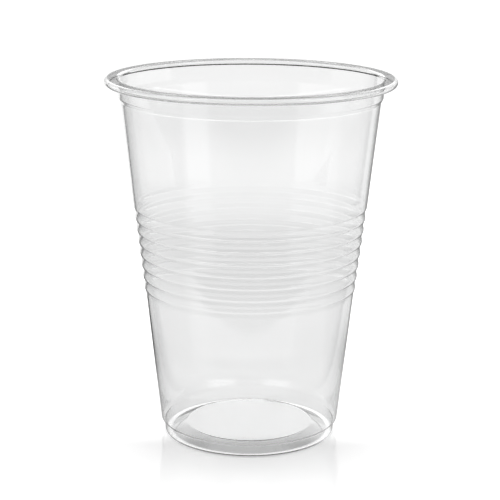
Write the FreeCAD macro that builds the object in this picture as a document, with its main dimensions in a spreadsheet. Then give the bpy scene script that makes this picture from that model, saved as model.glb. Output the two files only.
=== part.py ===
# Clear disposable drinking cup, thermoformed from one thin sheet of plastic.
#
# The sheet keeps one thickness all over, so the cup is its outside line, from the
# middle of the floor to the tucked end of the rolled rim, thickened inwards by the
# sheet and turned about the cup's axis. The cup stands on its foot ring at height 0,
# its axis is +Z, and all sizes are in millimetres.
import FreeCAD, Part
import Sketcher
import math
import os

Vector = FreeCAD.Vector

SIZES = {
    # whole cup
    "cup_height": 120.0,
    "rim_diameter": 95.0,
    "wall_thickness": 0.4,
    # rolled rim: flat lip, then a roll that tucks in under it
    "roll_height": 2.4,
    "roll_turn": 215.0,
    "lip_bend": 0.6,
    "neck_diameter": 86.4,
    # ledge under the neck, on which a stacked cup rests, measured down from the rim
    "ledge_top_depth": 6.2,
    "ledge_top_diameter": 86.0,
    "ledge_bottom_depth": 7.6,
    "ledge_bottom_diameter": 84.5,
    "ledge_round": 0.8,
    # grip ribs: narrow rounded crests, which stand out between broad hollows
    "rib_count": 8,
    "rib_top_height": 78.0,
    "rib_top_diameter": 77.0,
    "rib_bottom_height": 50.4,
    "rib_bottom_diameter": 70.2,
    "rib_bulge": 0.3,
    "rib_round": 0.6,
    # hollow shoulder by which the lower wall swings out to the ribs, turned in degrees
    "shoulder_round": 6.5,
    "shoulder_turn": 16.0,
    # corner between the lower wall and the foot
    "corner_height": 4.6,
    "corner_diameter": 59.4,
    "corner_round": 0.5,
    "foot_height": 3.8,
    "foot_top_diameter": 57.3,
    "foot_top_round": 0.4,
    # foot ring and raised floor
    "foot_diameter": 56.9,
    "foot_round": 0.7,
    "contact_inner_diameter": 52.0,
    "contact_round": 0.9,
    "floor_diameter": 41.6,
    "floor_rise": 2.4,
    "floor_round": 1.0,
}

# numbers by which a sketch knows an edge's ends and centre, its origin and height axis
START_INDEX = 1
END_INDEX = 2
CENTRE_INDEX = 3
ORIGIN_INDEX = -1
HEIGHT_AXIS_INDEX = -2


def make_sheet(doc, sizes):
    """Put every driving size in a cell that carries its name."""
    sheet = doc.addObject("Spreadsheet::Sheet", "sizes")
    for row, (alias, value) in enumerate(sizes.items(), start=1):
        sheet.set(f"A{row}", alias)
        sheet.set(f"B{row}", str(value))
        sheet.setAlias(f"B{row}", alias)
    doc.recompute()
    return sheet


def origin_feature(body, role):
    """Return the body's own plane or axis with this role."""
    for feature in body.Origin.OriginFeatures:
        if feature.Role == role:
            return feature
    raise ValueError(f"the body has no {role}")


def half(alias):
    """Radius of a diameter in the sheet, as an expression."""
    return f"sizes.{alias} / 2"


class Outline:
    """A chain of edges in a sketch, each dimensioned from the axis and the ground."""

    def __init__(self, sketch, radius, height):
        self.sketch = sketch
        self.here = self.point(radius, height)
        self.last = None
        self.last_end = None

    def number(self, expression):
        return float(self.sketch.evalExpression(expression))

    def point(self, radius, height):
        return Vector(self.number(radius), self.number(height), 0)

    def constrain(self, kind, *where):
        return self.sketch.addConstraint(Sketcher.Constraint(kind, *where))

    def dimension(self, kind, expression, *where):
        """Add one dimension and bind it to the sheet."""
        value = self.number(expression)
        if kind == "Angle":
            value = math.radians(value)
        index = self.constrain(kind, *where, value)
        self.sketch.setExpression(f"Constraints[{index}]", expression)

    def place(self, edge, end, radius, height):
        """Dimension one end of an edge from the axis and from the ground."""
        self.dimension("DistanceX", radius, ORIGIN_INDEX, START_INDEX, edge, end)
        if height == "0":
            self.constrain("PointOnObject", edge, end, ORIGIN_INDEX)
        else:
            self.dimension("DistanceY", height, ORIGIN_INDEX, START_INDEX, edge, end)

    def join(self, kind, edge, near_end, far_end):
        """Hang the edge's near end on the last edge and remember its far end."""
        if self.last is not None:
            self.constrain(kind, self.last, self.last_end, edge, near_end)
        self.last = edge
        self.last_end = far_end

    def line_to(self, radius, height):
        """Straight edge from here to a dimensioned point."""
        there = self.point(radius, height)
        edge = self.sketch.addGeometry(Part.LineSegment(self.here, there))
        self.join("Coincident", edge, START_INDEX, END_INDEX)
        self.place(edge, END_INDEX, radius, height)
        self.here = there
        return edge

    def arc(self, centre, round_radius, start_angle, turn):
        """Arc about a centre, turned to the left from an angle in radians."""
        circle = Part.Circle(centre, Vector(0, 0, 1), self.number(round_radius))
        edge = self.sketch.addGeometry(Part.ArcOfCircle(circle, start_angle, start_angle + turn))
        self.dimension("Radius", round_radius, edge)
        return edge

    def shoulder_to(self, crest, crest_round, shoulder_round, shoulder_turn):
        """Wall up from here and a tangent hollow arc that ends at a crest's circle."""
        hollow_radius = self.number(shoulder_round)
        reach = hollow_radius + self.number(crest_round)
        turn = math.radians(self.number(shoulder_turn))
        aside = hollow_radius - reach * math.cos(turn)
        span = crest - self.here
        lean = math.atan2(span.x, span.y) - math.asin(aside / span.Length)
        along = Vector(math.sin(lean), math.cos(lean), 0)
        outward = Vector(math.cos(lean), -math.sin(lean), 0)
        foot = crest - outward * aside - along * (reach * math.sin(turn))

        wall = self.sketch.addGeometry(Part.LineSegment(self.here, foot))
        self.join("Coincident", wall, START_INDEX, END_INDEX)
        centre = foot + outward * hollow_radius
        shoulder = self.arc(centre, shoulder_round, math.pi - lean - turn, turn)
        self.join("Tangent", shoulder, END_INDEX, START_INDEX)
        self.dimension("Angle", shoulder_turn, shoulder)
        return lean + turn

    def crest_at(self, crest, radius, height, crest_round, start_angle, end_angle):
        """Rounded crest whose circle's centre is dimensioned."""
        edge = self.arc(crest, crest_round, start_angle, end_angle - start_angle)
        self.join("Tangent", edge, START_INDEX, END_INDEX)
        self.place(edge, CENTRE_INDEX, radius, height)

    def hollow_to(self, crest, next_crest, hollow_round, crest_round):
        """Hollow arc from one crest's circle to the next one's."""
        chord = next_crest - crest
        reach = self.number(hollow_round) + self.number(crest_round)
        turn = 2 * math.asin(chord.Length / 2 / reach)
        outward = Vector(chord.y, -chord.x, 0).normalize()
        centre = crest + chord * 0.5 + outward * (reach * math.cos(turn / 2))
        lean = math.atan2(chord.x, chord.y)
        edge = self.arc(centre, hollow_round, math.pi - lean - turn / 2, turn)
        self.join("Tangent", edge, END_INDEX, START_INDEX)

    def wall_to(self, crest, crest_round, radius, height):
        """Wall from a crest's circle, at a tangent, up to a dimensioned point."""
        top = self.point(radius, height)
        normal = self.wall_normal(crest, top, self.number(crest_round))
        wall = self.sketch.addGeometry(
            Part.LineSegment(crest + normal * self.number(crest_round), top)
        )
        self.join("Tangent", wall, START_INDEX, END_INDEX)
        self.place(wall, END_INDEX, radius, height)
        self.here = top
        return wall

    def wall_normal(self, crest, top, crest_radius):
        """Outward direction in which the wall up to the top touches a crest's circle."""
        span = top - crest
        lean = math.atan2(span.x, span.y) - math.asin(crest_radius / span.Length)
        return Vector(math.cos(lean), -math.sin(lean), 0)

    def roll_over(self, arc_radius, turn):
        """Roll that leaves the last edge at a tangent and turns outwards and down."""
        radius = self.number(arc_radius)
        centre = self.here - Vector(0, radius, 0)
        tucked = math.pi / 2 - math.radians(self.number(turn))
        circle = Part.Circle(centre, Vector(0, 0, 1), radius)
        edge = self.sketch.addGeometry(Part.ArcOfCircle(circle, tucked, math.pi / 2))
        self.join("Tangent", edge, END_INDEX, START_INDEX)
        self.dimension("Radius", arc_radius, edge)
        self.dimension("Angle", turn, edge)

    def round_corner(self, edge, round_radius):
        """Round the corner at the far end of a straight edge."""
        self.sketch.fillet(edge, END_INDEX, self.number(round_radius), True, True)
        arcs = [
            index
            for index, piece in enumerate(self.sketch.Geometry)
            if piece.TypeId == "Part::GeomArcOfCircle"
        ]
        self.dimension("Radius", round_radius, arcs[-1])


def draw_outside(sketch):
    """Outside line of the cup, from the middle of the floor to the end of the roll."""
    line = Outline(sketch, "0", "sizes.floor_rise")
    floor = line.line_to(half("floor_diameter"), "sizes.floor_rise")
    line.constrain("PointOnObject", floor, START_INDEX, HEIGHT_AXIS_INDEX)
    line.constrain("Horizontal", floor)
    slope = line.line_to(half("contact_inner_diameter"), "0")
    contact = line.line_to(half("foot_diameter"), "0")
    foot = line.line_to(half("foot_top_diameter"), "sizes.foot_height")
    corner = line.line_to(half("corner_diameter"), "sizes.corner_height")

    upper_wall = draw_walls(
        line,
        half("ledge_bottom_diameter"),
        "sizes.cup_height - sizes.ledge_bottom_depth",
    )
    ledge = line.line_to(
        half("ledge_top_diameter"),
        "sizes.cup_height - sizes.ledge_top_depth",
    )
    lip_underside = "sizes.cup_height - sizes.wall_thickness"
    neck = line.line_to(half("neck_diameter"), lip_underside)
    line.line_to("(sizes.rim_diameter - sizes.roll_height) / 2", lip_underside)
    line.roll_over("sizes.roll_height / 2 - sizes.wall_thickness", "sizes.roll_turn")

    line.round_corner(floor, "sizes.floor_round")
    line.round_corner(slope, "sizes.contact_round")
    line.round_corner(contact, "sizes.foot_round")
    line.round_corner(foot, "sizes.foot_top_round")
    line.round_corner(corner, "sizes.corner_round")
    line.round_corner(upper_wall, "sizes.ledge_round")
    line.round_corner(ledge, "sizes.ledge_round")
    line.round_corner(neck, "sizes.lip_bend")


def draw_walls(line, top_radius, top_height):
    """Lower wall, ribs and upper wall, from the corner up to the ledge."""
    gaps = SIZES["rib_count"] - 1
    pitch = f"(sizes.rib_top_height - sizes.rib_bottom_height) / {gaps}"
    step = f"(sizes.rib_top_diameter - sizes.rib_bottom_diameter) / 2 / {gaps}"
    chord_squared = f"(({pitch}) ^ 2 + ({step}) ^ 2)"
    reach = f"{chord_squared} / 8 / sizes.rib_bulge + sizes.rib_bulge / 2"
    hollow_round = f"{reach} - sizes.rib_round"
    places = [
        (
            f"sizes.rib_bottom_diameter / 2 - sizes.rib_round + {rib} * {step}",
            f"sizes.rib_bottom_height + {rib} * {pitch}",
        )
        for rib in range(gaps + 1)
    ]
    crests = [line.point(radius, height) for radius, height in places]
    chord = crests[1] - crests[0]
    lean = math.atan2(chord.x, chord.y)
    half_turn = math.asin(chord.Length / 2 / line.number(reach))
    top = line.point(top_radius, top_height)
    top_normal = line.wall_normal(crests[-1], top, line.number("sizes.rib_round"))

    lower_angle = -line.shoulder_to(
        crests[0], "sizes.rib_round", "sizes.shoulder_round", "sizes.shoulder_turn"
    )
    for rib, (radius, height) in enumerate(places):
        if rib > 0:
            line.hollow_to(crests[rib - 1], crests[rib], hollow_round, "sizes.rib_round")
        upper_angle = half_turn - lean
        if rib == gaps:
            upper_angle = math.atan2(top_normal.y, top_normal.x)
        line.crest_at(
            crests[rib], radius, height, "sizes.rib_round", lower_angle, upper_angle
        )
        lower_angle = -half_turn - lean
    return line.wall_to(crests[-1], "sizes.rib_round", top_radius, top_height)


def make_cup(doc):
    """Build the cup as one body: outside line, sheet thickness, turn about the axis."""
    body = doc.addObject("PartDesign::Body", "body")
    body.Label = "cup"

    outside = body.newObject("Sketcher::SketchObject", "outside_line")
    outside.AttachmentSupport = [(origin_feature(body, "XZ_Plane"), "")]
    outside.MapMode = "FlatFace"
    draw_outside(outside)

    section = body.newObject("PartDesign::SubShapeBinder", "sheet_section")
    section.Support = [(outside, ("",))]
    section.OffsetJoinType = "Arcs"
    section.OffsetOpenResult = True
    section.OffsetFill = True
    section.setExpression("Offset", "sizes.wall_thickness")

    turned = body.newObject("PartDesign::Revolution", "turned_sheet")
    turned.Profile = (section, [""])
    turned.ReferenceAxis = (origin_feature(body, "Z_Axis"), [""])
    turned.Angle = 360
    body.Tip = turned
    return body


def check_document(doc, bodies):
    """Stop with a plain message if anything failed, before a file is written."""
    for thing in doc.Objects:
        failed = {"Invalid", "Error"} & set(thing.State)
        if failed:
            raise RuntimeError(f"{thing.Name} did not compute")
        if thing.TypeId == "Sketcher::SketchObject" and thing.solve() != 0:
            raise RuntimeError(f"{thing.Name} did not solve")
    for body in bodies:
        if body.Shape.isNull() or not body.Shape.isValid():
            raise RuntimeError(f"{body.Label} has no valid shape")
        if len(body.Shape.Solids) != 1:
            raise RuntimeError(f"{body.Label} is not one solid")


doc = FreeCAD.newDocument("disposable_cup")
make_sheet(doc, SIZES)
cup = make_cup(doc)
doc.recompute()
check_document(doc, [cup])

os.makedirs("parts", exist_ok=True)
cup.Shape.exportStep(f"parts/{cup.Label}.step")
print(f"{cup.Label}: {cup.Shape.Volume:.1f} mm3 of plastic")
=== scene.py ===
# %% [markdown]
# # A clear disposable cup
# The cup is one sheet of clear plastic, heated and drawn into a mould. This lesson loads
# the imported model, turns a finer sheet in its place, gives it a glass-like plastic, and
# sets the studio round it. Sizes of the cup are written in millimetres, and those of
# the studio in metres.

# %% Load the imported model
import math
from math import radians, tan

import bmesh
import bpy
from mathutils import Matrix, Vector


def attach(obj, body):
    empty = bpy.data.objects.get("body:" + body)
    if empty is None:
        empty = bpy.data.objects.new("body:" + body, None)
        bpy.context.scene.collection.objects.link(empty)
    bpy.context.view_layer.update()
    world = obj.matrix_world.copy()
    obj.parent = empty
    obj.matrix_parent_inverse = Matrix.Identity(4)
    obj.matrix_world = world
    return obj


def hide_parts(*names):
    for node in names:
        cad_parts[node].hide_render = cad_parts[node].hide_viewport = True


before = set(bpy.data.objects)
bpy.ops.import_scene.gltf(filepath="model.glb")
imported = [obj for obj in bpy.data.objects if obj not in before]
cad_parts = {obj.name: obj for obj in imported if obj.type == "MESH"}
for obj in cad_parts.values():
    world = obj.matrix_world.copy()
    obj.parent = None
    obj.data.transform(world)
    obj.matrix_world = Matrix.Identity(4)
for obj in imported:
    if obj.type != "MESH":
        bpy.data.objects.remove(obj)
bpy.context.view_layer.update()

MM = 0.001

# %% [markdown]
# ## The camera
# A clear object is read by its rims and edges, and those ellipses open or close with the
# camera's height. So the camera comes first: it stands a good half metre away, looks
# down by fourteen degrees and has a long lens, and every later choice is judged from it.

# %% Place the camera
CAMERA_PLACE = Vector((0.81, -523.6, 193.6)) * MM
# degrees
LOOK_DOWN, LOOK_LEFT, ROLL = 14.10, 0.09, 0.31
# millimetres
LENS, SENSOR = 116.96, 36.0

camera_data = bpy.data.cameras.new("studio_camera")
camera_data.lens = LENS
camera_data.sensor_width = SENSOR
camera = bpy.data.objects.new("studio_camera", camera_data)
bpy.context.scene.collection.objects.link(camera)
aim = (
    Matrix.Rotation(radians(LOOK_LEFT), 4, "Z")
    @ Matrix.Rotation(radians(90 - LOOK_DOWN), 4, "X")
    @ Matrix.Rotation(radians(ROLL), 4, "Z")
)
camera.matrix_world = Matrix.Translation(CAMERA_PLACE) @ aim
bpy.context.scene.camera = camera
print("camera at", [round(value, 4) for value in camera.location])

# %% [markdown]
# ## The cup's outline
# A turned object is modelled as half of its section, spun about the axis. The section is
# drawn with two moves. `run_to` extrudes the last vertex to a new corner, and `swing`
# spins the last vertex about a centre, which leaves an arc of short edges. Drawing only
# the outer face keeps it simple, because the sheet has one thickness all over.

# %% Two moves that draw an outline
def run_to(section, last, radius, height, steps=1):
    """Extrude the last vertex in equal steps to a corner in millimetres."""
    start = last.co.copy()
    corner = Vector((radius, 0, height)) * MM
    for step in range(1, steps + 1):
        last = bmesh.ops.extrude_vert_indiv(section, verts=[last])["verts"][0]
        last.co = start.lerp(corner, step / steps)
    return last


def swing(section, last, centre_radius, centre_height, degrees, steps):
    """Spin the last vertex about a centre in millimetres, upwards on the outer side."""
    spun = bmesh.ops.spin(
        section,
        geom=[last],
        cent=(centre_radius * MM, 0, centre_height * MM),
        axis=(0, -1, 0),
        angle=radians(degrees),
        steps=steps,
    )
    return next(item for item in spun["geom_last"] if isinstance(item, bmesh.types.BMVert))


# %% [markdown]
# ## Floor and foot
# The cup stands on a narrow flat ring. Inside it the floor is raised on a short slope,
# so that it never rocks, and outside it the foot steps out to the wall. The corners are
# sharp for now: they get their rounds later, when the section is a whole cup.

# %% Draw the floor and the foot
FLOOR_RADIUS, FLOOR_RISE = 20.8, 2.4
CONTACT_INNER = 26.0
FOOT_RADIUS = 28.45
FOOT_TOP_RADIUS, FOOT_TOP = 28.65, 3.8
CORNER_RADIUS, CORNER_HEIGHT = 29.7, 4.6
FLOOR_STEPS, SLOPE_STEPS, FOOT_STEPS = 6, 4, 3

section = bmesh.new()
last = section.verts.new((0, 0, FLOOR_RISE * MM))
last = run_to(section, last, FLOOR_RADIUS, FLOOR_RISE, steps=FLOOR_STEPS)
last = run_to(section, last, CONTACT_INNER, 0, steps=SLOPE_STEPS)
last = run_to(section, last, FOOT_RADIUS, 0)
last = run_to(section, last, FOOT_TOP_RADIUS, FOOT_TOP, steps=FOOT_STEPS)
last = run_to(section, last, CORNER_RADIUS, CORNER_HEIGHT)
print("outline so far:", len(section.verts), "vertices")

# %% [markdown]
# ## Grip ribs
# A grip rib is a narrow crest of small radius between two broad hollows. Each hollow
# touches the crest below it and the one above it, so the distance between their centres
# is the sum of the two radii, which gives the whole band from a pitch and a bulge. The
# crests are drawn a little rounder and the hollows a little deeper than in the packed
# solid, by less than a tenth of a millimetre, so that they catch the light.

# %% Work out the ribs
RIB_COUNT = 8
RIB_BOTTOM_RADIUS, RIB_BOTTOM = 35.1, 50.4
RIB_TOP_RADIUS, RIB_TOP = 38.5, 78.0
RIB_BULGE, RIB_ROUND = 0.36, 1.2


def up_along(lean):
    """Direction up a wall that leans outwards by an angle in radians."""
    return Vector((math.sin(lean), math.cos(lean)))


def out_of(lean):
    """Outward direction, square to the same wall."""
    return Vector((math.cos(lean), -math.sin(lean)))


rib = Vector((RIB_TOP_RADIUS - RIB_BOTTOM_RADIUS, RIB_TOP - RIB_BOTTOM)) / (RIB_COUNT - 1)
rib_lean = math.atan2(rib.x, rib.y)
# distance between the centres of a crest and a hollow, from the bulge of their arcs
reach = rib.length ** 2 / 8 / RIB_BULGE + RIB_BULGE / 2
rib_turn = 2 * math.asin(rib.length / 2 / reach)
to_hollow = rib / 2 + out_of(rib_lean) * reach * math.cos(rib_turn / 2)
print("ribs are", round(rib.y, 2), "mm apart")
print("their hollows have a radius of", round(reach - RIB_ROUND, 2), "mm")

# %% [markdown]
# ## Lower wall
# The lower wall runs straight up from the corner, and then swings out in a hollow of its
# own to touch the lowest crest. Its lean isn't chosen: it follows from the corner, the
# crest and the hollow's turn.

# %% Draw the lower wall
SHOULDER_ROUND, SHOULDER_TURN = 6.5, 16.0
WALL_STEPS, SHOULDER_STEPS = 10, 5

crest = Vector((RIB_BOTTOM_RADIUS - RIB_ROUND, RIB_BOTTOM))
turn = radians(SHOULDER_TURN)
aside = SHOULDER_ROUND - (SHOULDER_ROUND + RIB_ROUND) * math.cos(turn)
span = crest - Vector((CORNER_RADIUS, CORNER_HEIGHT))
lean = math.atan2(span.x, span.y) - math.asin(aside / span.length)
wall_top = crest - out_of(lean) * aside
wall_top -= up_along(lean) * (SHOULDER_ROUND + RIB_ROUND) * math.sin(turn)
shoulder = wall_top + out_of(lean) * SHOULDER_ROUND
last = run_to(section, last, wall_top.x, wall_top.y, steps=WALL_STEPS)
last = swing(section, last, shoulder.x, shoulder.y, -SHOULDER_TURN, SHOULDER_STEPS)
print("lower wall leans by", round(math.degrees(lean), 2), "degrees")

# %% [markdown]
# ## Rib band and upper wall
# Crests and hollows follow each other, and each arc starts where the last one ended, in
# the same direction. Short faces go where the light turns quickly. The upper wall leaves
# the top crest in a straight line to the ledge.

# %% Draw the ribs and the upper wall
LEDGE_BOTTOM_RADIUS, LEDGE_BOTTOM = 42.25, 112.4
CREST_STEPS, HOLLOW_STEPS = 6, 10

top_crest = crest + rib * (RIB_COUNT - 1)
span = Vector((LEDGE_BOTTOM_RADIUS, LEDGE_BOTTOM)) - top_crest
top_lean = math.atan2(span.x, span.y) - math.asin(RIB_ROUND / span.length)
crest_start = -lean - turn
for number in range(RIB_COUNT):
    top = number == RIB_COUNT - 1
    crest_end = -top_lean if top else rib_turn / 2 - rib_lean
    crest_turn = math.degrees(crest_end - crest_start)
    last = swing(section, last, crest.x, crest.y, crest_turn, CREST_STEPS)
    if not top:
        hollow = crest + to_hollow
        hollow_turn = -math.degrees(rib_turn)
        last = swing(section, last, hollow.x, hollow.y, hollow_turn, HOLLOW_STEPS)
    crest_start = -rib_turn / 2 - rib_lean
    crest += rib
last = run_to(section, last, LEDGE_BOTTOM_RADIUS, LEDGE_BOTTOM, steps=WALL_STEPS)
print("upper wall leans by", round(math.degrees(top_lean), 2), "degrees")

# %% [markdown]
# ## Ledge, neck and rolled rim
# Under the rim a small ledge holds the next cup of a stack. The flat lip ends in a roll
# that turns outwards, down and back under itself, which makes the thin sheet stiff and
# kind to the mouth. The roll is one arc of more than half a turn.

# %% Draw the ledge, the neck, the lip and the roll
CUP_HEIGHT = 120.0
RIM_RADIUS = 47.5
SHEET = 0.4
LEDGE_TOP_RADIUS, LEDGE_TOP = 43.0, 113.8
NECK_RADIUS = 43.2
LIP_UNDERSIDE = CUP_HEIGHT - SHEET
ROLL_HEIGHT, ROLL_TURN = 2.4, 215.0
NECK_STEPS, LIP_STEPS, ROLL_STEPS = 3, 3, 24

last = run_to(section, last, LEDGE_TOP_RADIUS, LEDGE_TOP)
last = run_to(section, last, NECK_RADIUS, LIP_UNDERSIDE, steps=NECK_STEPS)
roll_centre = RIM_RADIUS - ROLL_HEIGHT / 2
roll_middle = CUP_HEIGHT - ROLL_HEIGHT / 2
last = run_to(section, last, roll_centre, LIP_UNDERSIDE, steps=LIP_STEPS)
last = swing(section, last, roll_centre, roll_middle, -ROLL_TURN, ROLL_STEPS)
print("whole outline:", len(section.verts), "vertices")

# %% [markdown]
# ## From outline to cup
# One full spin turns the outline into the cup's outer face. Its first and last copies
# are merged, and so are the many vertices at the middle of the floor. The normals are
# recalculated here, while the shell is still one face thick, and checked against the
# foot, where outside is down.

# %% Spin the outline
ROUND_STEPS = 192
MERGE_WITHIN = 0.001
ON_GROUND = 0.01

bmesh.ops.spin(
    section,
    geom=section.verts[:] + section.edges[:],
    cent=(0, 0, 0),
    axis=(0, 0, 1),
    angle=radians(360),
    steps=ROUND_STEPS,
    use_merge=True,
)
bmesh.ops.remove_doubles(section, verts=section.verts, dist=MERGE_WITHIN * MM)
bmesh.ops.recalc_face_normals(section, faces=section.faces)
standing = [
    face for face in section.faces if face.calc_center_median().z < ON_GROUND * MM
]
if standing[0].normal.z > 0:
    bmesh.ops.reverse_faces(section, faces=section.faces)
print("turned sheet:", len(section.faces), "faces, foot normal", standing[0].normal.z)

# %% [markdown]
# ## Rounding the corners
# No corner of drawn sheet is sharp. A bevel of a whole ring of edges with a round
# profile gives each corner its radius: the bevel's width is the radius times the tangent
# of half the corner's turn.

# %% Round each ring of edges
ON_RING = 0.002
# corner radius and height, rounding, and how many faces the round gets
ROUNDS = {
    "floor": (FLOOR_RADIUS, FLOOR_RISE, 1.0, 4),
    "contact": (CONTACT_INNER, 0, 0.9, 4),
    "foot": (FOOT_RADIUS, 0, 0.7, 8),
    "foot top": (FOOT_TOP_RADIUS, FOOT_TOP, 0.4, 5),
    "corner": (CORNER_RADIUS, CORNER_HEIGHT, 0.5, 5),
    "ledge bottom": (LEDGE_BOTTOM_RADIUS, LEDGE_BOTTOM, 0.8, 3),
    "ledge top": (LEDGE_TOP_RADIUS, LEDGE_TOP, 0.8, 3),
    "lip bend": (NECK_RADIUS, LIP_UNDERSIDE, 0.6, 7),
}


def ring_at(shell, radius, height):
    """Edges of the ring that runs round the cup at this radius and height."""
    def on_ring(vertex):
        aside = math.hypot(vertex.co.x, vertex.co.y) - radius * MM
        above = vertex.co.z - height * MM
        return max(abs(aside), abs(above)) < ON_RING * MM

    return [edge for edge in shell.edges if all(on_ring(vertex) for vertex in edge.verts)]


def round_ring(shell, radius, height, rounding, segments):
    """Bevel a ring so that its corner becomes an arc of this radius."""
    ring = ring_at(shell, radius, height)
    turn = ring[0].calc_face_angle()
    bmesh.ops.bevel(
        shell,
        geom=ring,
        affect="EDGES",
        offset_type="OFFSET",
        offset=rounding * MM * tan(turn / 2),
        segments=segments,
        profile=0.5,
        material=-1,
    )
    return math.degrees(turn)


for name, (radius, height, rounding, segments) in ROUNDS.items():
    corner_turn = round_ring(section, radius, height, rounding, segments)
    print(name, "turns by", round(corner_turn, 1), "degrees")

# %% [markdown]
# ## The sheet's thickness
# Solidify gives the shell its thickness towards the inside of the cup, so the outer size
# stays. Even thickness keeps the sheet as thick on slopes as on walls, and the rim face
# closes its tucked edge, which glass needs: light has to find a way in and a way out.
# Where a long straight face meets the short faces of a round, plain smooth shading would
# tilt the light on the long one. Weighted Normal lets the larger face decide, so that
# straight walls also shine as straight walls.

# %% Make the cup
cup_mesh = bpy.data.meshes.new("drawn_cup")
section.to_mesh(cup_mesh)
section.free()
cup_mesh.shade_smooth()
cup = bpy.data.objects.new("drawn_cup", cup_mesh)
bpy.context.scene.collection.objects.link(cup)
thick = cup.modifiers.new("sheet", "SOLIDIFY")
thick.thickness = SHEET * MM
thick.offset = -1
thick.use_even_offset = True
thick.use_rim = True
shine = cup.modifiers.new("even_shine", "WEIGHTED_NORMAL")
shine.mode = "FACE_AREA"
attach(cup, "root")
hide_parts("cup")
print("cup:", 2 * len(cup_mesh.polygons), "faces on the two sides of the sheet")

# %% [markdown]
# ## Clear plastic
# Thin clear plastic is glass with a lower refractive index. Almost all light goes
# through, and what shows is reflection and the bending at rims and ribs.

# %% Build the plastic
PLASTIC_TINT = (0.995, 0.997, 0.997, 1)
PLASTIC_IOR = 1.49

plastic = bpy.data.materials.new("clear_plastic")
plastic.use_nodes = True
nodes = plastic.node_tree.nodes
links = plastic.node_tree.links
shader = nodes["Principled BSDF"]
shader.inputs["Base Color"].default_value = PLASTIC_TINT
shader.inputs["IOR"].default_value = PLASTIC_IOR
shader.inputs["Transmission Weight"].default_value = 1.0
cup.data.materials.append(plastic)
print("plastic bends light by an index of", PLASTIC_IOR)

# %% [markdown]
# ## Haze
# Drawn sheet is never equally clear all over. A fine haze comes and goes in the
# roughness, so that no reflection is as sharp as in glass.

# %% Let the roughness vary
HAZE_SCALE, HAZE_DETAIL = 90, 4
HAZE_NOISE = (0.35, 0.75)
HAZE_ROUGHNESS = (0.01, 0.03)

place = nodes.new("ShaderNodeTexCoord")
haze = nodes.new("ShaderNodeTexNoise")
haze.inputs["Scale"].default_value = HAZE_SCALE
haze.inputs["Detail"].default_value = HAZE_DETAIL
haze_range = nodes.new("ShaderNodeMapRange")
haze_range.inputs["From Min"].default_value = HAZE_NOISE[0]
haze_range.inputs["From Max"].default_value = HAZE_NOISE[1]
haze_range.inputs["To Min"].default_value = HAZE_ROUGHNESS[0]
haze_range.inputs["To Max"].default_value = HAZE_ROUGHNESS[1]
links.new(place.outputs["Object"], haze.inputs["Vector"])
links.new(haze.outputs["Fac"], haze_range.inputs["Value"])
links.new(haze_range.outputs["Result"], shader.inputs["Roughness"])
print("roughness between", HAZE_ROUGHNESS[0], "and", HAZE_ROUGHNESS[1])

# %% [markdown]
# ## Waves in the sheet
# The sheet is stretched upwards while it is warm, which leaves faint slow waves, longer
# upwards than round the cup. They bend the reflections a little. They are too low to
# show in the outline, so a bump is enough.

# %% Let the reflections waver
WAVE_SCALE, WAVE_DETAIL = 45, 1
WAVE_STRETCH = (1, 1, 0.25)
WAVE_STRENGTH, WAVE_HEIGHT = 0.1, 0.4

stretch = nodes.new("ShaderNodeMapping")
stretch.inputs["Scale"].default_value = WAVE_STRETCH
wave = nodes.new("ShaderNodeTexNoise")
wave.inputs["Scale"].default_value = WAVE_SCALE
wave.inputs["Detail"].default_value = WAVE_DETAIL
ripple = nodes.new("ShaderNodeBump")
ripple.inputs["Strength"].default_value = WAVE_STRENGTH
ripple.inputs["Distance"].default_value = WAVE_HEIGHT * MM
links.new(place.outputs["Object"], stretch.inputs["Vector"])
links.new(stretch.outputs["Vector"], wave.inputs["Vector"])
links.new(wave.outputs["Fac"], ripple.inputs["Height"])
links.new(ripple.outputs["Normal"], shader.inputs["Normal"])
print("plastic:", len(nodes), "nodes")

# %% [markdown]
# ## Light written as curves
# The table and the room are plain grey levels that change with a distance or an angle,
# so each is written as a short list of pairs, and a colour ramp draws the curve. Light
# that was mirrored or scattered gets other levels than light that comes straight: the
# number of a ray's bounces tells them apart.

# %% Small helpers for node trees
HALF_A_BOUNCE = 0.5


def maths(tree, operation, first, second=None):
    """Add a Math node; an input is a number or another node's socket."""
    added = tree.nodes.new("ShaderNodeMath")
    added.operation = operation
    for socket, value in zip(added.inputs, (first, second)):
        if isinstance(value, bpy.types.NodeSocket):
            tree.links.new(value, socket)
        elif value is not None:
            socket.default_value = value
    return added.outputs["Value"]


def ramp(tree, position, levels):
    """Grey levels along a value, as pairs of a value and its level."""
    low, high = levels[0][0], levels[-1][0]
    share = tree.nodes.new("ShaderNodeMapRange")
    share.inputs["From Min"].default_value = low
    share.inputs["From Max"].default_value = high
    tree.links.new(position, share.inputs["Value"])
    colours = tree.nodes.new("ShaderNodeValToRGB")
    tree.links.new(share.outputs["Result"], colours.inputs["Fac"])
    stops = colours.color_ramp.elements
    stops.remove(stops[1])
    for number, (value, level) in enumerate(levels):
        place = (value - low) / (high - low)
        stop = stops[0] if number == 0 else stops.new(place)
        stop.position = place
        stop.color = (level, level, level, 1)
    return colours.outputs["Color"]


def blend(tree, share, first, second):
    """Mix two grey levels; each is a number or a socket."""
    change = maths(tree, "SUBTRACT", second, first)
    return maths(tree, "ADD", maths(tree, "MULTIPLY", change, share), first)


def bounced(tree, path, kind):
    """1 for rays that have had at least one bounce of this kind, and else 0."""
    return maths(tree, "GREATER_THAN", path.outputs[kind + " Depth"], HALF_A_BOUNCE)


# %% [markdown]
# ## Table
# The cup stands on a wide table of glossy white plastic, for which one flat grid is
# enough. Three measures steer its light: how far along the table a spot lies, how far
# from the cup's axis, and in which direction.

# %% Lay the table
# metres
FLOOR_HALF_WIDTH = 4.0
FLOOR_CELLS = 8

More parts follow.
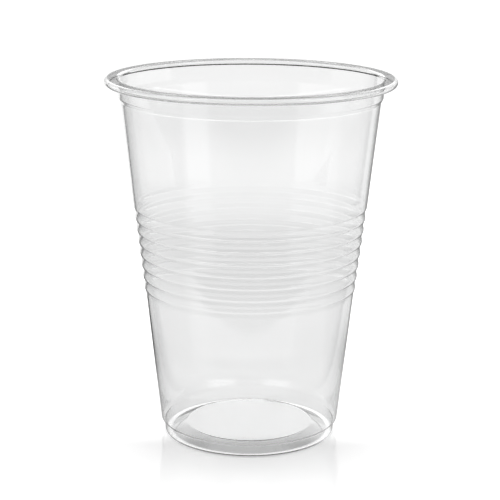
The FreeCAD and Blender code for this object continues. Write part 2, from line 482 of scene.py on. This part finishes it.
table = bmesh.new()
bmesh.ops.create_grid(
    table, x_segments=FLOOR_CELLS, y_segments=FLOOR_CELLS, size=FLOOR_HALF_WIDTH
)
floor_mesh = bpy.data.meshes.new("table_top")
table.to_mesh(floor_mesh)
table.free()
floor = bpy.data.objects.new("table_top", floor_mesh)
bpy.context.scene.collection.objects.link(floor)

white_table = bpy.data.materials.new("white_table")
white_table.use_nodes = True
floor_mesh.materials.append(white_table)
tree = white_table.node_tree
place = tree.nodes.new("ShaderNodeTexCoord")
split = tree.nodes.new("ShaderNodeSeparateXYZ")
tree.links.new(place.outputs["Object"], split.inputs["Vector"])
along = split.outputs["Y"]
away = tree.nodes.new("ShaderNodeVectorMath")
away.operation = "LENGTH"
tree.links.new(place.outputs["Object"], away.inputs[0])
distance = away.outputs["Value"]
heading = maths(tree, "DEGREES", maths(tree, "ARCTAN2", split.outputs["X"], along))
print("table:", 2 * FLOOR_HALF_WIDTH, "metres wide")

# %% [markdown]
# ## The table that the camera sees
# It is glossy, and painted darker under the foot, a painted shade. It glows, most of all
# far off, so that it melts into the white background and still mirrors the cup near by.

# %% Glossy white with a glow
FLOOR_GREY = 0.8
FLOOR_ROUGHNESS = 0.04
# metres along the table, negative towards the camera: share of the painted shade under the
# foot
PAINTED_SHADE_FRONT = [(-0.05, 1), (-0.017, 1), (-0.009, 0.25), (0.05, 0.25)]
# metres from the cup's axis: that painted shade, as a share of the table's colour and glow
PAINTED_SHADE_UNDER_CUP = [
    (0, 0.6),
    (0.0255, 0.6),
    (0.0268, 0.82),
    (0.0285, 0.88),
    (0.031, 1),
    (0.1, 1),
]
# the same way: glow in front of the cup, and one level for behind it
GLOW_TO_CAMERA = [
    (0, 0.38),
    (0.029, 0.38),
    (0.036, 0.42),
    (0.065, 0.62),
    (0.1, 0.68),
    (0.5, 1),
    (1, 1),
]
GLOW_BEHIND = 0.68

# painted shade: colour and glow of the table are lowered under the foot, most in front
in_front = ramp(tree, along, PAINTED_SHADE_FRONT)
painted_shade = blend(tree, in_front, 1.0, ramp(tree, distance, PAINTED_SHADE_UNDER_CUP))
grey_with_painted_shade = maths(tree, "MULTIPLY", painted_shade, FLOOR_GREY)
glow = blend(tree, in_front, GLOW_BEHIND, ramp(tree, distance, GLOW_TO_CAMERA))
glossy = tree.nodes["Principled BSDF"]
glossy.inputs["Roughness"].default_value = FLOOR_ROUGHNESS
glossy.inputs["Emission Strength"].default_value = 1.0
tree.links.new(grey_with_painted_shade, glossy.inputs["Base Color"])
tree.links.new(maths(tree, "MULTIPLY", glow, painted_shade), glossy.inputs["Emission Color"])
print("shade under the foot:", PAINTED_SHADE_UNDER_CUP[0][1], "of the light")

# %% [markdown]
# ## The table that is seen through the cup
# Light that went through the plastic meets a matte table with a weaker glow, which
# changes along the table. With the camera's table the walls would be as white as the
# background. This one gives them their soft greys.

# %% Matte with a weaker glow
# metres along the table, negative towards the camera: glow through the cup
GLOW_THROUGH_CUP = [
    (-0.5, 0.57),
    (0.06, 0.57),
    (0.1, 0.51),
    (0.14, 0.49),
    (0.18, 0.42),
    (0.22, 0.41),
    (0.25, 0.38),
    (0.29, 0.39),
    (0.33, 0.49),
    (0.38, 0.51),
    (0.42, 0.58),
    (0.48, 0.58),
    (0.6, 0.51),
    (0.67, 0.52),
    (0.76, 0.58),
    (1.0, 0.58),
]

matte = tree.nodes.new("ShaderNodeBsdfDiffuse")
tree.links.new(grey_with_painted_shade, matte.inputs["Color"])
own_glow = tree.nodes.new("ShaderNodeEmission")
through = ramp(tree, along, GLOW_THROUGH_CUP)
# the painted shade under the foot lowers this glow too
tree.links.new(maths(tree, "MULTIPLY", through, painted_shade), own_glow.inputs["Color"])
behind = tree.nodes.new("ShaderNodeAddShader")
tree.links.new(matte.outputs["BSDF"], behind.inputs[0])
tree.links.new(own_glow.outputs["Emission"], behind.inputs[1])
print("glow through the cup:", len(GLOW_THROUGH_CUP), "levels")

# %% [markdown]
# ## The table that is mirrored in the cup
# The shine on the cup sees a painted studio table: a glow with painted light and shade,
# dark beyond its front edge and in a ring on the camera's side, and changing round the
# cup. These painted reflections give the clear plastic the dark lines that the eye needs.

# %% A table in a studio
# metres along the table, negative towards the camera: painted light, dark beyond the front
# edge
PAINTED_TABLE_FRONT = [
    (-0.5, 0),
    (-0.4, 0),
    (-0.33, 0.02),
    (-0.29, 0.25),
    (-0.265, 0.6),
    (-0.235, 0.9),
    (0.4, 1),
    (0.5, 1),
]
# metres from the cup's axis: the painted dark ring
PAINTED_DARK_RING = [(0, 0.5), (0.06, 0.55), (0.08, 0.2), (0.1, 0.2), (0.14, 1), (0.2, 1)]
# degrees round the cup, 0 is away from the camera and 90 is to its right: share of that
# painted ring, and painted light of the whole mirrored table
PAINTED_RING_ROUND = [(-180, 1), (-130, 1), (-95, 0.45), (95, 0.45), (130, 1), (180, 1)]
PAINTED_TABLE_ROUND = [
    (-180, 1.0),
    (-121, 1.0),
    (-118, 0.6),
    (-65, 0.6),
    (-48, 0.5),
    (-38, 0.35),
    (-35, 0.05),
    (-29, 0.05),
    (-26, 1.0),
    (10, 1.0),
    (14, 0.35),
    (30, 0.35),
    (40, 0.8),
    (94, 0.7),
    (98, 1.0),
    (180, 1.0),
]

painted_front = ramp(tree, along, PAINTED_TABLE_FRONT)
painted_round = ramp(tree, heading, PAINTED_TABLE_ROUND)
painted_ring = blend(tree, ramp(tree, heading, PAINTED_RING_ROUND), 1.0, ramp(tree, distance, PAINTED_DARK_RING))
painted_mirror_light = maths(tree, "MULTIPLY", maths(tree, "MULTIPLY", painted_front, painted_round), painted_ring)
# painted reflection: a glow that only mirrored light sees
painted_mirror_table = tree.nodes.new("ShaderNodeEmission")
tree.links.new(painted_mirror_light, painted_mirror_table.inputs["Color"])
print("mirrored table:", len(PAINTED_TABLE_ROUND), "levels round the cup")

# %% [markdown]
# ## One table for each kind of light
# Mirrored light gets the painted studio table. Of the rest, what comes straight from the
# camera gets the glossy table, and what went through the cup gets the matte one.

# %% Choose the table
path = tree.nodes.new("ShaderNodeLightPath")
through_cup = tree.nodes.new("ShaderNodeMixShader")
tree.links.new(path.outputs["Is Camera Ray"], through_cup.inputs["Fac"])
tree.links.new(behind.outputs["Shader"], through_cup.inputs[1])
tree.links.new(glossy.outputs["BSDF"], through_cup.inputs[2])
either = tree.nodes.new("ShaderNodeMixShader")
tree.links.new(bounced(tree, path, "Glossy"), either.inputs["Fac"])
tree.links.new(through_cup.outputs["Shader"], either.inputs[1])
tree.links.new(painted_mirror_table.outputs["Emission"], either.inputs[2])
tree.links.new(either.outputs["Shader"], tree.nodes["Material Output"].inputs["Surface"])
print("table:", len(tree.nodes), "nodes")

# %% [markdown]
# ## Studio
# Mirrored light sees a studio by direction: a pale backdrop with a dark gap behind the
# cup, a dark room on the right, and a tall soft box on each side of the camera. That
# contrast is what draws a clear object, and the soft boxes run down it as upright
# streaks.

# %% Build the studio
# degrees to the right of the way the camera looks: backdrop, dark room and soft boxes
STUDIO_ROUND = [
    (-180, 0.12),
    (-136, 0.12),
    (-133, 0.85),
    (-117, 0.8),
    (-90, 0.7),
    (-87, 0.5),
    (-40, 0.7),
    (-8, 0.9),
    (-6, 0.25),
    (6, 0.25),
    (8, 0.9),
    (33, 0.9),
    (40, 0.15),
    (112, 0.15),
    (115, 0.85),
    (137, 0.85),
    (140, 0.12),
    (180, 0.12),
]
# degrees above the horizon: share of the ceiling
STUDIO_CEILING = [(-90, 0.0), (30, 0.0), (40, 1.0), (90, 1.0)]
CEILING_LEVEL = 0.1

world = bpy.data.worlds.new("studio")
bpy.context.scene.world = world
world.use_nodes = True
tree = world.node_tree
where = tree.nodes.new("ShaderNodeTexCoord")
split = tree.nodes.new("ShaderNodeSeparateXYZ")
tree.links.new(where.outputs["Generated"], split.inputs["Vector"])
turn_right = maths(tree, "ARCTAN2", split.outputs["X"], split.outputs["Y"])
heading = maths(tree, "DEGREES", turn_right)
height = maths(tree, "DEGREES", maths(tree, "ARCSINE", split.outputs["Z"]))
studio = ramp(tree, heading, STUDIO_ROUND)
studio = blend(tree, ramp(tree, height, STUDIO_CEILING), studio, CEILING_LEVEL)
print("studio:", len(STUDIO_ROUND), "levels round the room")

# %% [markdown]
# ## Panel and light strip
# A lit panel hangs behind the cup, above what the camera sees, and shines in the rim and
# the upper wall. A thin strip runs low round the room and climbs towards the camera's
# side, and draws a line along each rib.

# %% Add the panel and the strip
# degrees to the right of the way the camera looks, and degrees above the horizon
PANEL_ROUND = [(-180, 0), (-25, 0), (-20, 1), (20, 1), (25, 0), (180, 0)]
PANEL_HEIGHT = [(-90, 0), (9.5, 0), (11, 1), (26, 1), (29, 0), (90, 0)]
PANEL_LEVEL = 1.55
STRIP_ROUND = [(-180, 1), (-45, 1), (-40, 0), (40, 0), (45, 1), (180, 1)]
STRIP_HEIGHT = [(-90, 0), (0, 0), (0.4, 1), (3.6, 1), (4, 0), (90, 0)]
STRIP_LEVEL = 2.5
# how far the strip climbs in degrees, and the share of that round the room
STRIP_CLIMB = 10
STRIP_LIFT = [(-180, 0.7), (-90, 0.15), (-45, 0.05), (45, 0.05), (90, 0.15), (180, 0.7)]

panel_round = ramp(tree, heading, PANEL_ROUND)
panel = maths(tree, "MULTIPLY", panel_round, ramp(tree, height, PANEL_HEIGHT))
studio = blend(tree, panel, studio, PANEL_LEVEL)
lift = maths(tree, "MULTIPLY", ramp(tree, heading, STRIP_LIFT), STRIP_CLIMB)
strip_height = ramp(tree, maths(tree, "SUBTRACT", height, lift), STRIP_HEIGHT)
strip = maths(tree, "MULTIPLY", ramp(tree, heading, STRIP_ROUND), strip_height)
studio = blend(tree, strip, studio, STRIP_LEVEL)
print("panel and strip levels:", PANEL_LEVEL, STRIP_LEVEL)

# %% [markdown]
# ## World
# The camera sees a white background. Light that went straight through the cup sees the
# same white, darker overhead. Scattered light finds an even room with the panel in it,
# and only mirrored light finds the whole studio.

# %% Put the world together
# degrees above the horizon: the white that is seen through the cup
OVERHEAD = [(-90, 1.0), (20, 1.0), (45, 0.3), (90, 0.15)]
ROOM_LIGHT = 0.35

beyond = ramp(tree, height, OVERHEAD)
room = blend(tree, panel, ROOM_LIGHT, PANEL_LEVEL)
path = tree.nodes.new("ShaderNodeLightPath")
level = blend(tree, bounced(tree, path, "Glossy"), beyond, studio)
level = blend(tree, bounced(tree, path, "Diffuse"), level, room)
level = blend(tree, path.outputs["Is Camera Ray"], level, 1.0)
tree.links.new(level, tree.nodes["Background"].inputs["Strength"])
tree.nodes["Background"].inputs["Color"].default_value = (1, 1, 1, 1)
print("world:", len(tree.nodes), "nodes")

# %% [markdown]
# ## Lamp
# One wide soft box hangs high above the cup. It is large and weak, so that the table is
# lit evenly and the cup's shadow stays soft. The tall boxes beside the camera need no
# lamps, because only mirrored light sees them: they are levels of the world.

# %% Hang the lamp
# metres, and how bright it looks
LAMP_PLACE = Vector((0, 0.2, 1.6))
LAMP_SIZE = 1.2
LAMP_RADIANCE = 0.8

lamp_data = bpy.data.lights.new("top_box", "AREA")
lamp_data.shape = "SQUARE"
lamp_data.size = LAMP_SIZE
lamp_data.energy = LAMP_RADIANCE * math.pi * LAMP_SIZE ** 2
lamp = bpy.data.objects.new("top_box", lamp_data)
bpy.context.scene.collection.objects.link(lamp)
cup_middle = Vector((0, 0, CUP_HEIGHT / 2 * MM))
facing = (LAMP_PLACE - cup_middle).to_track_quat("Z", "Y")
lamp.matrix_world = Matrix.Translation(LAMP_PLACE) @ facing.to_matrix().to_4x4()
print("lamp:", round(lamp_data.energy, 2), "watts")

# %% [markdown]
# ## Finish
# Light crosses the thin sheet many times in the rolled rim, so paths may be longer than
# usual.

# %% Set the view and finish
MOST_BOUNCES, MIRROR_BOUNCES = 32, 12

scene = bpy.context.scene
scene.view_settings.view_transform = "Standard"
scene.cycles.max_bounces = MOST_BOUNCES
scene.cycles.transmission_bounces = MOST_BOUNCES
scene.cycles.glossy_bounces = MIRROR_BOUNCES
bpy.context.view_layer.update()
